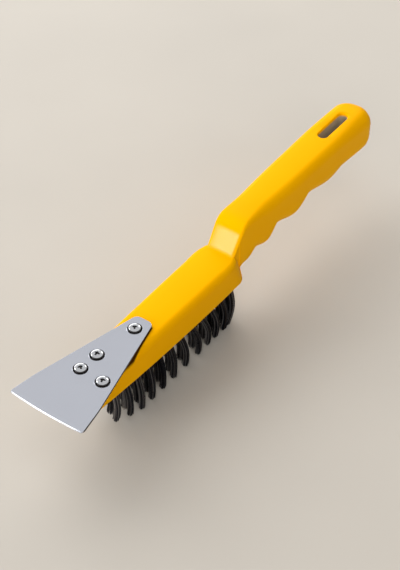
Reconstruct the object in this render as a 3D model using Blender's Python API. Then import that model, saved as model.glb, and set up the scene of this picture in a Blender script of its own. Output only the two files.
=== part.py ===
"""Hand-held wire brush with a scraper blade on its nose: moulded body, steel blade, screws and wire tufts.

Metres, +Z up. The brush stands on its wire tips at z = 0, with the blade at -X and the grip at +X.
Stations are distances along X from the corners of the blade's cutting edge towards the grip.
"""

import math
import random

import bmesh
import bpy
from mathutils import Matrix, Vector

# Clearance between pieces that touch.
FIT_GAP = 0.0003

# Bristle block of the moulded body.
NOSE_SETBACK = 0.0205
BLOCK_LENGTH = 0.1277
BLOCK_DEPTH = 0.0180
BLOCK_TOP_WIDTH = 0.0248
BLOCK_BOTTOM_WIDTH = 0.0252
BLOCK_TOP_ROUND = 0.0038
BLOCK_BOTTOM_ROUND = 0.0010
NOSE_TOP_WIDTH = 0.0220
NOSE_DEPTH = 0.0122
NOSE_TAPER_LENGTH = 0.1120
NOSE_CORNER = 0.0060
REAR_CORNER = 0.0038
SHOULDER_LENGTH = 0.0150
REAR_EDGE_SLANT = 0.0008

# Stepped neck and grip of the moulded body.
GRIP_LENGTH = 0.1397
NECK_FOOT_OVERLAP = 0.0059
NECK_WIDTH = 0.0166
NECK_RISE = 0.0161
NECK_SLOPE_LENGTH = 0.0073
NECK_SLOPE_RISE = 0.0110
NECK_ROUND_LENGTH = 0.0118
NECK_EDGE_ROUND = 0.0020
NECK_UNDER_DROP = 0.0134
GRIP_MIDDLE_WIDTH = 0.0232
GRIP_MIDDLE = 0.45
GRIP_WIDENING = 0.8
GRIP_END_WIDTH = 0.0248
GRIP_TOP_ROUND = 0.0052
GRIP_BOTTOM_ROUND = 0.0053
GRIP_END_TOP_ROUND = 0.0085
GRIP_END_SOFTENING = 0.0500
GRIP_END_ROUND = 0.0132
GRIP_END_FLAT = 0.06
GRIP_END_CROWN = 0.0105
GRIP_END_RISE = 0.0019
GRIP_END_HEEL = 0.0100
# Swells under the grip, from the neck on: length, drop of the swell and drop of the valley after it.
# Drops are measured down from the block's top, and the last swell takes what is left of the grip.
FINGER_SWELLS = (
    (0.0148, 0.0131, 0.0092),
    (0.0197, 0.0119, 0.0046),
    (0.0314, 0.0091, 0.0031),
    (0.0351, 0.0071, 0.0053),
)
LAST_SWELL_DROP = 0.0066
SWELL_SKEW = 1.35
SWELL_SHARPNESS = 1.2

# Hang slot through the grip's end.
SLOT_LENGTH = 0.0276
SLOT_WIDTH = 0.0060
SLOT_END_DISTANCE = 0.0190
SLOT_RIM_ROUND = 0.0010

# Wire tufts.
BRISTLE_LENGTH = 0.0267
TUFT_COLUMNS = 12
TUFT_ROWS = 4
COLUMN_PITCH = 0.0090
ROW_PITCH = 0.0060
ROW_STAGGER = 0.0029
FIRST_COLUMN_INSET = 0.0190
HOLE_RADIUS = 0.0022
HOLE_DEPTH = 0.0060
STRANDS_AROUND = 6
STRAND_FULLNESS = 0.305
STRAND_RING_FULLNESS = 0.62
STRAND_TIP_FULLNESS = 0.85
STRAND_BEND = 0.18
TIP_SPLAY = 0.00075
LENGTH_SPREAD = 0.0012
TIP_CUT = 0.0005
NOSE_TIP_LIFT = 0.0095
NOSE_LIFT_COLUMNS = 2
NOSE_LIFT_POWER = 1.5
TUFT_SEED = 5

# Leans of the tufts' tips: outwards across the brush, and towards the grip along it.
OUTER_LEAN = 0.0004
INNER_LEAN = 0.0012
GRIPWARD_LEAN = 0.0022
SWEPT_LEAN = 0.0045
SWEPT_COLUMN = 7.4
SWEPT_SPREAD = 1.7
NOSE_CURL = 0.0025
REAR_CURL = 0.0038
LEAN_SPREAD = 0.0003

# Scraper blade.
BLADE_LENGTH = 0.0766
BLADE_WIDTH = 0.0450
BLADE_BULGE = 0.0008
BLADE_THICKNESS = 0.0012
BLADE_LIP_LENGTH = 0.0150
BLADE_LIP_WIDTH = 0.0402
BLADE_TAIL_WIDTH = 0.0104
BLADE_TAIL_ROUND = 0.0034
BLADE_TIP_ROUND = 0.0012
BLADE_EDGE_THICKNESS = 0.0005
BLADE_GRIND_LENGTH = 0.0013
DIMPLE_RADIUS = 0.0043
DIMPLE_DEPTH = 0.0006

# Pan-head screws: station and distance to the side of each.
TAIL_SCREW_INSET = 0.0080
SCREW_PLACES = (
    (0.0310, -0.0095),
    (0.0314, 0.0046),
    (0.0433, 0.0040),
    (BLADE_LENGTH - TAIL_SCREW_INSET, 0.0003),
)
HEAD_RADIUS = 0.0034
HEAD_HEIGHT = 0.0022
HEAD_RIM = 0.3
HEAD_UNDERSIDE = 0.97
SHANK_RADIUS = 0.0016
SHANK_LENGTH = 0.0065
SHANK_POINT = 0.0020
SHANK_TIP = 0.15
RECESS_SPAN = 0.0034
RECESS_SLOT = 0.0009
RECESS_DEPTH = 0.0011
RECESS_TAPER = 0.55

# Fineness of round shapes.
TOP_ARC_STEPS = 4
BOTTOM_ARC_STEPS = 3
SIDE_STEPS = 3
CORNER_STEPS = 5
SCREW_SIDES = 16
HEAD_STEPS = 5
DIMPLE_SIDES = 16
HOLE_SIDES = 6

# Worked out from the sizes above.
OVERALL_LENGTH = NOSE_SETBACK + BLOCK_LENGTH + GRIP_LENGTH
BLOCK_END = NOSE_SETBACK + BLOCK_LENGTH
NECK_FOOT = BLOCK_END - NECK_FOOT_OVERLAP
NECK_TOP = NECK_FOOT + NECK_SLOPE_LENGTH + NECK_ROUND_LENGTH
BLOCK_TOP = BRISTLE_LENGTH + BLOCK_DEPTH
BLADE_BOTTOM = BLOCK_TOP + FIT_GAP
BLADE_TOP = BLADE_BOTTOM + BLADE_THICKNESS
DIMPLE_FLOOR = BLADE_TOP - DIMPLE_DEPTH
DIMPLE_BUMP = BLADE_BOTTOM - DIMPLE_DEPTH
HEAD_SEAT = DIMPLE_FLOOR + FIT_GAP
SLOT_END = OVERALL_LENGTH - SLOT_END_DISTANCE
PLUG_RADIUS = HOLE_RADIUS - FIT_GAP
STRAND_RADIUS = PLUG_RADIUS * STRAND_FULLNESS
STRAND_RING_RADIUS = PLUG_RADIUS * STRAND_RING_FULLNESS


def place(station):
    """X of a station, with the whole brush centred on the origin."""
    return station - (OVERALL_LENGTH - BLADE_BULGE) / 2


def share(value, start, end):
    """How far value is from start to end, from 0 to 1."""
    return min(max((value - start) / (end - start), 0), 1)


def mix(a, b, t):
    return a + (b - a) * t


def eased(t):
    return t * t * (3 - 2 * t)


def round_off(t):
    """Drop of a quarter round, from 0 at its start to 1 at its end."""
    return 1 - math.sqrt(max(1 - t * t, 0))


def clear_scene():
    for obj in list(bpy.data.objects):
        bpy.data.objects.remove(obj, do_unlink=True)


def material(name, color, roughness, metallic):
    made = bpy.data.materials.new(name)
    made.use_nodes = True
    shader = made.node_tree.nodes["Principled BSDF"]
    shader.inputs["Base Color"].default_value = (*color, 1)
    shader.inputs["Roughness"].default_value = roughness
    shader.inputs["Metallic"].default_value = metallic
    return made


def object_from(bm, name, finish=None, smooth_angle=35):
    bmesh.ops.recalc_face_normals(bm, faces=bm.faces)
    mesh = bpy.data.meshes.new(name)
    bm.to_mesh(mesh)
    bm.free()
    mesh.shade_smooth()
    mesh.set_sharp_from_angle(angle=math.radians(smooth_angle))
    obj = bpy.data.objects.new(name, mesh)
    bpy.context.scene.collection.objects.link(obj)
    if finish:
        mesh.materials.append(finish)
    return obj


def combine(obj, other, label, operation):
    """Boolean with a helper that is left out of the model."""
    other.hide_render = True
    other.display_type = "WIRE"
    modifier = obj.modifiers.new(label, "BOOLEAN")
    modifier.operation = operation
    modifier.solver = "EXACT"
    modifier.object = other


def bridge(bm, lower, upper):
    """Quads between two rings of as many points."""
    for i in range(len(lower)):
        j = (i + 1) % len(lower)
        bm.faces.new((lower[i], lower[j], upper[j], upper[i]))


def loft(bm, rings):
    """Closed skin over rings of points, with flat ends."""
    made = [[bm.verts.new(point) for point in ring] for ring in rings]
    for lower, upper in zip(made, made[1:]):
        bridge(bm, lower, upper)
    bm.faces.new(made[0])
    bm.faces.new(made[-1])


def circle(x, y, z, radius, sides):
    """Level ring of points, the first one towards +X."""
    ring = []
    for i in range(sides):
        angle = 2 * math.pi * i / sides
        ring.append((x + radius * math.cos(angle), y + radius * math.sin(angle), z))
    return ring


def stack(bm, x, y, profile, sides):
    """Closed turned shape from (radius, z) pairs, standing at x, y."""
    loft(bm, [circle(x, y, z, radius, sides) for radius, z in profile])


def rounded_corner(before, corner, after, radius, steps):
    """Points of the arc that rounds one corner of a flat outline."""
    corner = Vector(corner)
    back = (Vector(before) - corner).normalized()
    ahead = (Vector(after) - corner).normalized()
    half = back.angle(ahead) / 2
    centre = corner + (back + ahead).normalized() * (radius / math.sin(half))
    start = corner + back * (radius / math.tan(half)) - centre
    end = corner + ahead * (radius / math.tan(half)) - centre
    turn = math.atan2(start.cross(end), start.dot(end))
    return [tuple(centre + Matrix.Rotation(turn * i / steps, 2) @ start) for i in range(steps + 1)]


def block_depth(station):
    """Depth of the block below its top, shallower towards the nose."""
    t = share(station, NOSE_SETBACK, NOSE_SETBACK + NOSE_TAPER_LENGTH)
    return mix(NOSE_DEPTH, BLOCK_DEPTH, 1 - (1 - t) ** 2)


def grip_end_share(station):
    return share(station, OVERALL_LENGTH - GRIP_END_ROUND, OVERALL_LENGTH)


def swell_drop(station):
    """Drop of the grip's underside below the block's top."""
    start = BLOCK_END
    before = NECK_UNDER_DROP
    for length, swell, after in FINGER_SWELLS:
        if station <= start + length:
            break
        start += length
        before = after
    else:
        length = OVERALL_LENGTH - start
        swell = LAST_SWELL_DROP
        after = LAST_SWELL_DROP
    t = share(station, start, start + length)
    base = mix(before, after, t)
    return base + (swell - (before + after) / 2) * math.sin(math.pi * t ** SWELL_SKEW) ** SWELL_SHARPNESS


def bottom_height(station):
    block = BLOCK_TOP - block_depth(station)
    grip = BLOCK_TOP - swell_drop(station) + GRIP_END_HEEL * round_off(grip_end_share(station))
    return mix(block, grip, share(station, BLOCK_END - REAR_EDGE_SLANT, BLOCK_END))


def top_height(station):
    """Flat block top, steep neck face, rounded brow, nearly level grip top and crowned end."""
    slope_end = NECK_FOOT + NECK_SLOPE_LENGTH
    if station <= slope_end:
        return BLOCK_TOP + NECK_SLOPE_RISE * share(station, NECK_FOOT, slope_end)
    t = share(station, slope_end, NECK_TOP)
    brow = NECK_RISE - NECK_SLOPE_RISE
    power = NECK_SLOPE_RISE / NECK_SLOPE_LENGTH * NECK_ROUND_LENGTH / brow
    rise = GRIP_END_RISE * share(station, NECK_TOP, OVERALL_LENGTH)
    crown = GRIP_END_CROWN * round_off(grip_end_share(station))
    return BLOCK_TOP + NECK_SLOPE_RISE + brow * (1 - (1 - t) ** power) + rise - crown


def grip_half_width(station):
    middle = mix(NECK_TOP, OVERALL_LENGTH, GRIP_MIDDLE)
    widening = eased(share(station, NECK_FOOT - NECK_WIDTH, middle)) ** GRIP_WIDENING
    full = mix(NECK_WIDTH, GRIP_MIDDLE_WIDTH, widening)
    full = mix(full, GRIP_END_WIDTH, share(station, middle, SLOT_END))
    return mix(full, full * GRIP_END_FLAT, round_off(grip_end_share(station))) / 2


def half_width(station, height):
    """Half the body's width at a height: the block's side, and the grip's beyond the block's rear corner."""
    level = share(height, BLOCK_TOP, BLOCK_TOP - BLOCK_DEPTH)
    grip = grip_half_width(station)
    taper = eased(share(station, NOSE_SETBACK, NOSE_SETBACK + NOSE_TAPER_LENGTH))
    top = mix(NOSE_TOP_WIDTH, BLOCK_TOP_WIDTH, taper)
    full = mix(top, BLOCK_BOTTOM_WIDTH, level) / 2
    nose = NOSE_CORNER * round_off(1 - share(station, NOSE_SETBACK, NOSE_SETBACK + NOSE_CORNER))
    end = mix(NECK_FOOT, BLOCK_END, math.sqrt(level))
    corner = mix(SHOULDER_LENGTH, REAR_CORNER, level ** 0.6)
    rear = round_off(share(station, end - corner, end))
    if station >= end:
        return grip
    return mix(full - nose, grip, rear)


def top_round(station):
    """Radius of the edges along the body's top."""
    neck = mix(BLOCK_TOP_ROUND, NECK_EDGE_ROUND, share(station, NECK_FOOT - SHOULDER_LENGTH, NECK_FOOT))
    beyond = eased(share(station, NECK_FOOT + NECK_SLOPE_LENGTH, NECK_TOP + NECK_RISE))
    end = eased(share(station, OVERALL_LENGTH - GRIP_END_SOFTENING, OVERALL_LENGTH))
    return mix(mix(neck, GRIP_TOP_ROUND, beyond), GRIP_END_TOP_ROUND, end)


def bottom_round(station):
    beyond = share(station, BLOCK_END - REAR_CORNER, BLOCK_END + REAR_CORNER)
    return mix(BLOCK_BOTTOM_ROUND, GRIP_BOTTOM_ROUND, beyond)


def body_section(station):
    """Ring of points round the body where the plane at a station cuts it."""
    top = top_height(station)
    bottom = bottom_height(station)
    side_top = half_width(station, min(top, BLOCK_TOP))
    side_bottom = half_width(station, bottom)
    limit = min(side_top, side_bottom, (top - bottom) / 2) * 0.95
    upper = min(top_round(station), limit)
    lower = min(bottom_round(station), limit)
    half = []
    for i in range(TOP_ARC_STEPS + 1):
        angle = math.pi / 2 * i / TOP_ARC_STEPS
        half.append((side_top - upper * (1 - math.sin(angle)), top - upper * (1 - math.cos(angle))))
    high = min(top - upper, BLOCK_TOP) if station < BLOCK_END else top - upper
    low = bottom + lower
    for i in range(1, SIDE_STEPS):
        height = mix(high, low, i / SIDE_STEPS)
        half.append((half_width(station, height), height))
    for i in range(BOTTOM_ARC_STEPS + 1):
        angle = math.pi / 2 * i / BOTTOM_ARC_STEPS
        half.append((side_bottom - lower * (1 - math.cos(angle)), bottom + lower * (1 - math.sin(angle))))
    ring = [(place(station), y, z) for y, z in half]
    return ring + [(place(station), -y, z) for y, z in reversed(half)]


def even(start, end, count):
    """Stations from start up to, but not at, end."""
    return [mix(start, end, i / count) for i in range(count)]


def quarter(start, end, count):
    """Stations that follow a quarter round, closest together where it is steepest, at end."""
    return [mix(start, end, math.sin(math.pi / 2 * i / count)) for i in range(count)]


def body_stations():
    nose_round_end = NOSE_SETBACK + NOSE_CORNER
    shoulder_start = NECK_FOOT - SHOULDER_LENGTH
    slope_end = NECK_FOOT + NECK_SLOPE_LENGTH
    end_round_start = OVERALL_LENGTH - GRIP_END_ROUND
    stations = list(reversed([mix(nose_round_end, NOSE_SETBACK, math.sin(math.pi / 2 * i / CORNER_STEPS))
                              for i in range(1, CORNER_STEPS + 1)]))
    stations += even(nose_round_end, shoulder_start, 9)
    stations += even(shoulder_start, NECK_FOOT, 6)
    stations += even(NECK_FOOT, BLOCK_END - REAR_EDGE_SLANT, 4)
    stations += [BLOCK_END - REAR_EDGE_SLANT, BLOCK_END]
    stations += even(slope_end, NECK_TOP, 4)
    start = BLOCK_END
    ends = []
    for length, _, _ in FINGER_SWELLS:
        start += length
        ends.append(start)
    marks = [NECK_TOP, *[end for end in ends if end > NECK_TOP], end_round_start]
    for mark, following in zip(marks, marks[1:]):
        stations += even(mark, following, 6)
    stations += quarter(end_round_start, OVERALL_LENGTH, CORNER_STEPS)
    stations.append(OVERALL_LENGTH)
    return stations


def tuft_places():
    """Column, row, X, Y and mouth height of each tuft's hole. Every other row is set nearer the grip."""
    places = []
    for column in range(TUFT_COLUMNS):
        for row in range(TUFT_ROWS):
            station = NOSE_SETBACK + FIRST_COLUMN_INSET + column * COLUMN_PITCH + ROW_STAGGER * (row % 2)
            y = (row - (TUFT_ROWS - 1) / 2) * ROW_PITCH
            places.append((column, row, place(station), y, bottom_height(station)))
    return places


def slot_ring(inset, height):
    """Outline of the hang slot, wider by inset, at a height."""
    radius = SLOT_WIDTH / 2 + inset
    ends = (place(SLOT_END) - SLOT_WIDTH / 2, place(SLOT_END - SLOT_LENGTH) + SLOT_WIDTH / 2)
    ring = []
    for side, centre in enumerate(ends):
        for i in range(CORNER_STEPS * 2 + 1):
            angle = math.pi * (i / (CORNER_STEPS * 2) - 0.5 + side)
            ring.append((centre + radius * math.cos(angle), radius * math.sin(angle), height))
    return ring


def slot_cutter():
    """Slot prism that flares at the grip's top and underside."""
    middle = SLOT_END - SLOT_LENGTH / 2
    faces = ((top_height(middle), 1), (bottom_height(middle), -1))
    rings = []
    for surface, outward in faces:
        flare = []
        for i in range(4):
            angle = math.pi / 2 * i / 3
            inset = SLOT_RIM_ROUND * (1 - math.cos(angle))
            flare.append((inset, surface - outward * SLOT_RIM_ROUND * (1 - math.sin(angle))))
        flare.append((SLOT_RIM_ROUND, surface + outward * GRIP_BOTTOM_ROUND))
        rings += reversed(flare) if outward > 0 else flare
    bm = bmesh.new()
    loft(bm, [slot_ring(inset, height) for inset, height in rings])
    return object_from(bm, "slot_cutter")


def tuft_hole_cutter():
    bm = bmesh.new()
    for _, _, x, y, mouth in tuft_places():
        stack(bm, x, y, ((HOLE_RADIUS, mouth + HOLE_DEPTH), (HOLE_RADIUS, mouth - HOLE_RADIUS)), HOLE_SIDES)
    return object_from(bm, "tuft_hole_cutter")


def screw_hole_cutter():
    """Pockets for the blade's pressed dimples, with a blind pilot hole below each."""
    pocket = DIMPLE_RADIUS + FIT_GAP
    pilot = SHANK_RADIUS + FIT_GAP
    pocket_floor = DIMPLE_BUMP - FIT_GAP
    pilot_end = HEAD_SEAT - SHANK_LENGTH - FIT_GAP
    profile = ((pocket, BLADE_BOTTOM), (pocket, pocket_floor), (pilot, pocket_floor), (pilot, pilot_end))
    bm = bmesh.new()
    for station, y in SCREW_PLACES:
        stack(bm, place(station), y, profile, DIMPLE_SIDES)
    return object_from(bm, "screw_hole_cutter")


def make_body():
    finish = material("yellow_plastic", (1.0, 0.56, 0.003), 0.42, 0.0)
    bm = bmesh.new()
    loft(bm, [body_section(station) for station in body_stations()])
    body = object_from(bm, "handle_body", finish)
    combine(body, tuft_hole_cutter(), "tuft holes", "DIFFERENCE")
    combine(body, screw_hole_cutter(), "screw holes", "DIFFERENCE")
    combine(body, slot_cutter(), "hang slot", "DIFFERENCE")


def blade_outline(grind):
    """Flat outline of the blade, with its cutting edge set back by grind."""
    half = BLADE_WIDTH / 2
    lip = BLADE_LIP_WIDTH / 2
    tail = BLADE_TAIL_WIDTH / 2
    front = []
    for i in range(9):
        t = i / 4 - 1
        front.append((place(grind - BLADE_BULGE * (1 - t * t)), -t * (half - BLADE_TIP_ROUND)))
    tip = (place(grind), half)
    lip_point = (place(BLADE_LIP_LENGTH), lip)
    tail_point = (place(BLADE_LENGTH), tail)
    far = rounded_corner(front[0], tip, lip_point, BLADE_TIP_ROUND * 0.8, 3)
    far.append(lip_point)
    far += rounded_corner(lip_point, tail_point, (place(BLADE_LENGTH), 0), BLADE_TAIL_ROUND, CORNER_STEPS)
    near = [(x, -y) for x, y in far]
    return front[1:-1] + near + far[::-1]


def make_blade():
    """Flat steel blade with a ground edge and a pressed dimple round each screw."""
    finish = material("blade_steel", (0.52, 0.54, 0.58), 0.25, 1.0)
    bm = bmesh.new()
    heights = (
        (0, BLADE_BOTTOM),
        (0, BLADE_BOTTOM + BLADE_EDGE_THICKNESS),
        (BLADE_GRIND_LENGTH, BLADE_TOP),
    )
    loft(bm, [[(x, y, z) for x, y in blade_outline(grind)] for grind, z in heights])
    blade = object_from(bm, "scraper_blade", finish, 20)
    wall = BLADE_THICKNESS / 2
    bumps = bmesh.new()
    hollows = bmesh.new()
    for station, y in SCREW_PLACES:
        x = place(station)
        bump = ((DIMPLE_RADIUS, BLADE_BOTTOM + wall), (DIMPLE_RADIUS, BLADE_BOTTOM),
                (DIMPLE_RADIUS - DIMPLE_DEPTH, DIMPLE_BUMP))
        hollow = ((DIMPLE_RADIUS, BLADE_TOP + wall), (DIMPLE_RADIUS, BLADE_TOP),
                  (DIMPLE_RADIUS - DIMPLE_DEPTH, DIMPLE_FLOOR), (SHANK_RADIUS + FIT_GAP, DIMPLE_FLOOR),
                  (SHANK_RADIUS + FIT_GAP, DIMPLE_BUMP - wall))
        stack(bumps, x, y, bump, DIMPLE_SIDES)
        stack(hollows, x, y, hollow, DIMPLE_SIDES)
    combine(blade, object_from(bumps, "dimple_bumps"), "dimple bumps", "UNION")
    combine(blade, object_from(hollows, "dimple_hollows"), "dimple hollows", "DIFFERENCE")


def recess_cutter(crown):
    """Tapered cross for the driver recess in a screw's head."""
    bm = bmesh.new()
    rings = []
    for scale, height in ((1, crown + RECESS_DEPTH), (RECESS_TAPER, crown - RECESS_DEPTH)):
        long = RECESS_SPAN / 2 * scale
        short = RECESS_SLOT / 2 * (scale + 1) / 2
        arm = ((long, -short), (long, short), (short, short))
        ring = []
        for quarter_turn in range(4):
            turn = Matrix.Rotation(math.pi / 2 * quarter_turn, 2)
            ring += [turn @ Vector(point) for point in arm]
        rings.append([(point.x, point.y, height) for point in ring])
    loft(bm, rings)
    return object_from(bm, "recess_cutter")


def make_screws():
    """Pan-head screws, each with its origin under its head."""
    finish = material("screw_steel", (0.60, 0.61, 0.63), 0.18, 1.0)
    tip = -SHANK_LENGTH
    profile = [(SHANK_RADIUS * SHANK_TIP, tip), (SHANK_RADIUS, tip + SHANK_POINT), (SHANK_RADIUS, 0)]
    profile.append((HEAD_RADIUS * HEAD_UNDERSIDE, 0))
    for i in range(HEAD_STEPS):
        angle = math.pi / 2 * i / HEAD_STEPS
        dome = HEAD_HEIGHT * mix(HEAD_RIM, 1, math.sin(angle))
        profile.append((HEAD_RADIUS * math.cos(angle), dome))
    for number, (station, y) in enumerate(SCREW_PLACES, 1):
        bm = bmesh.new()
        stack(bm, 0, 0, profile, SCREW_SIDES)
        screw = object_from(bm, f"blade_screw_{number}", finish)
        cutter = recess_cutter(HEAD_HEIGHT)
        for obj in (screw, cutter):
            obj.location = (place(station), y, HEAD_SEAT)
        combine(screw, cutter, "driver recess", "DIFFERENCE")


def strand_ring(centre, radius):
    """Three points round a strand's centre, level."""
    x, y, z = centre
    ring = []
    for i in range(3):
        angle = math.pi * (2 * i / 3 + 1 / 6)
        ring.append((x + radius * math.cos(angle), y + radius * math.sin(angle), z))
    return ring


def strand_centres(tip, lean, dice):
    """Root, middle and tip of each strand of a tuft: one in the middle and the rest round it."""
    strands = []
    for i in range(STRANDS_AROUND + 1):
        angle = 2 * math.pi * i / STRANDS_AROUND
        out = Vector((math.cos(angle), math.sin(angle), 0)) if i else Vector((0, 0, 0))
        root = out * STRAND_RING_RADIUS
        end = root + out * TIP_SPLAY + lean
        end.z = max(tip, tip - TIP_CUT + LENGTH_SPREAD * dice.random() ** 2)
        middle = root.lerp(end, 0.5) - lean * STRAND_BEND
        strands.append((root, middle, end))
    return strands


def tuft_lean(column, side, dice):
    """How far a tuft's tip stands from below its root. Side runs from -1 to 1 across the rows."""
    along = GRIPWARD_LEAN + SWEPT_LEAN * math.exp(-((column - SWEPT_COLUMN) / SWEPT_SPREAD) ** 2)
    if column == 0:
        along -= NOSE_CURL
    if column == TUFT_COLUMNS - 1:
        along -= REAR_CURL
    across = math.copysign(OUTER_LEAN if abs(side) == 1 else INNER_LEAN, side)
    along += LEAN_SPREAD * dice.uniform(-1, 1)
    across += LEAN_SPREAD * dice.uniform(-1, 1)
    return Vector((along, across, 0))


def make_tuft(column, row, mouth, finish, dice):
    """Wire bunch folded into its hole: a packed root plug with the strands fused to it."""
    side = row * 2 / (TUFT_ROWS - 1) - 1
    lean = tuft_lean(column, side, dice)
    lift = NOSE_TIP_LIFT * max(1 - column / NOSE_LIFT_COLUMNS, 0) ** NOSE_LIFT_POWER
    bm = bmesh.new()
    top_ring = [bm.verts.new(point) for point in circle(0, 0, HOLE_DEPTH - FIT_GAP, PLUG_RADIUS, HOLE_SIDES)]
    mouth_ring = [bm.verts.new(point) for point in circle(0, 0, 0, PLUG_RADIUS, HOLE_SIDES)]
    bm.faces.new(top_ring)
    bridge(bm, top_ring, mouth_ring)
    loops = [mouth_ring]
    for centres in strand_centres(lift - mouth, lean, dice):
        rings = []
        for centre, radius in zip(centres, (1, 1, STRAND_TIP_FULLNESS)):
            rings.append([bm.verts.new(point) for point in strand_ring(centre, STRAND_RADIUS * radius)])
        bridge(bm, rings[0], rings[1])
        bridge(bm, rings[1], rings[2])
        bm.faces.new(rings[2])
        loops.append(rings[0])
    edges = []
    for ring in loops:
        for i, vert in enumerate(ring):
            edges.append(bm.edges.get((vert, ring[(i + 1) % len(ring)])))
    bmesh.ops.triangle_fill(bm, use_beauty=True, edges=edges, normal=(0, 0, -1))
    return object_from(bm, f"wire_tuft_{column + 1:02d}_{'abcdefgh'[row]}", finish)


def make_tufts():
    finish = material("tuft_wire", (0.028, 0.028, 0.03), 0.35, 0.7)
    dice = random.Random(TUFT_SEED)
    for column, row, x, y, mouth in tuft_places():
        make_tuft(column, row, mouth, finish, dice).location = (x, y, mouth)


def main():
    clear_scene()
    make_body()
    make_blade()
    make_screws()
    make_tufts()


main()
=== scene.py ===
"""Wire brush with a scraper blade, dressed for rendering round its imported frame.

Laid out as a Blender add-on: every group of pieces has its operator, and a panel lists them with their settings.
Metres, +Z up. The blade points to -X, the grip to +X, and the tufts stand on z = 0.
"""

import math
import random

import bmesh
import bpy
from mathutils import Matrix, Vector


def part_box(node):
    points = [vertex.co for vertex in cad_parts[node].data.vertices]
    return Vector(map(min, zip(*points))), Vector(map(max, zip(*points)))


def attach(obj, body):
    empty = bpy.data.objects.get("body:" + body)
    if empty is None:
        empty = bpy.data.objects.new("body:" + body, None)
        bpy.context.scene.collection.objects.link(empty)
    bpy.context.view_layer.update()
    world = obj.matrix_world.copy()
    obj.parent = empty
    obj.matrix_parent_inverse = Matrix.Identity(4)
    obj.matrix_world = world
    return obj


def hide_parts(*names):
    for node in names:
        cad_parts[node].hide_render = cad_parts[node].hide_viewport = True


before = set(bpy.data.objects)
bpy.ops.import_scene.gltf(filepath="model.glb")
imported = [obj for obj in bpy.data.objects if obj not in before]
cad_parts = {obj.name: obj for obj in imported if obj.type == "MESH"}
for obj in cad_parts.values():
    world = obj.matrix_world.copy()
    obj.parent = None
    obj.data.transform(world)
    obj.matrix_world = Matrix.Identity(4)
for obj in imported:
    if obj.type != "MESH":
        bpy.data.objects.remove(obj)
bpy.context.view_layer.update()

bl_info = {
    "name": "Wire Brush",
    "version": (1, 0, 0),
    "blender": (4, 5, 0),
    "location": "View3D > Sidebar > Wire Brush",
    "description": "Builds a hand wire brush with a scraper blade: body, blade, screws, wire tufts and a stage",
    "category": "Add Mesh",
}

# Bristle block of the body. Stations run along X from the corners of the blade's cutting edge.
BODY_LOW, BODY_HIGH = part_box("handle_body")
NOSE_SETBACK = 0.0205
BLOCK_LENGTH = 0.1277
BLOCK_DEPTH = 0.0180
BLOCK_TOP_WIDTH = 0.0248
BLOCK_BOTTOM_WIDTH = 0.0252
BLOCK_TOP_ROUND = 0.0038
BLOCK_BOTTOM_ROUND = 0.0010
NOSE_TOP_WIDTH = 0.0220
NOSE_DEPTH = 0.0122
NOSE_TAPER_LENGTH = 0.1120
NOSE_CORNER = 0.0060
REAR_CORNER = 0.0038
SHOULDER_LENGTH = 0.0150
REAR_EDGE_SLANT = 0.0008

# Stepped neck and grip of the body.
NECK_FOOT_OVERLAP = 0.0059
NECK_FOOT_FILLET = 0.0008
NECK_WIDTH = 0.0166
NECK_RISE = 0.0161
NECK_SLOPE_LENGTH = 0.0073
NECK_SLOPE_RISE = 0.0110
NECK_ROUND_LENGTH = 0.0118
NECK_EDGE_ROUND = 0.0020
NECK_UNDER_DROP = 0.0134
GRIP_MIDDLE_WIDTH = 0.0232
GRIP_MIDDLE = 0.45
GRIP_WIDENING = 0.8
GRIP_END_WIDTH = 0.0248
GRIP_TOP_ROUND = 0.0052
GRIP_BOTTOM_ROUND = 0.0053
GRIP_END_TOP_ROUND = 0.0085
GRIP_END_SOFTENING = 0.0500
GRIP_END_ROUND = 0.0132
GRIP_END_FLAT = 0.06
GRIP_END_CROWN = 0.0105
GRIP_END_RISE = 0.001898
GRIP_END_HEEL = 0.0100
FINGER_SWELLS = (
    (0.0148, 0.0131, 0.0092),
    (0.0197, 0.0119, 0.0046),
    (0.0314, 0.0091, 0.0031),
    (0.0351, 0.0071, 0.0053),
)
LAST_SWELL_DROP = 0.0066
SWELL_SKEW = 1.35
SWELL_SHARPNESS = 1.2

# Hang slot through the grip.
SLOT_LENGTH = 0.0276
SLOT_WIDTH = 0.0060
SLOT_END_DISTANCE = 0.0190
SLOT_RIM_ROUND = 0.0012

# Blade. UNDERCUT is how far its underside is ground back, GROUND_REACH how far its cutting edge stays bright, and
# SURFACE_SLACK how near a point counts as on a flat.
BLADE_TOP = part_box("scraper_blade")[1].z
BLADE_LENGTH = 0.0766
BLADE_WIDTH = 0.04498
BLADE_BULGE = 0.0008
UNDERCUT = 0.0012
GROUND_REACH = 0.0012
BLADE_THICKNESS = 0.0012
BLADE_LIP_LENGTH = 0.0150
BLADE_LIP_WIDTH = 0.0402
BLADE_LIP_ROUND = 0.040
BLADE_TAIL_WIDTH = 0.0104
BLADE_TAIL_ROUND = 0.0034
BLADE_TIP_ROUND = 0.0012
SURFACE_SLACK = 0.0001

# Pressed dimples of the blade. DIMPLE_BULGE is the radius and rise of their undersides from the blade's underside.
DIMPLE_DEPTH = 0.0006
DENT_REACH = 0.0048
RIM_RADIUS = 0.0045
WALL_RADIUS = 0.0039
FLOOR_RADIUS = 0.0036
PRESSED_DEPTH = 0.00048
DIMPLE_BULGE = ((0.0043, 0.0004), (0.0043, 0), (0.0040, -0.0004), (0.0037, -DIMPLE_DEPTH))

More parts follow.
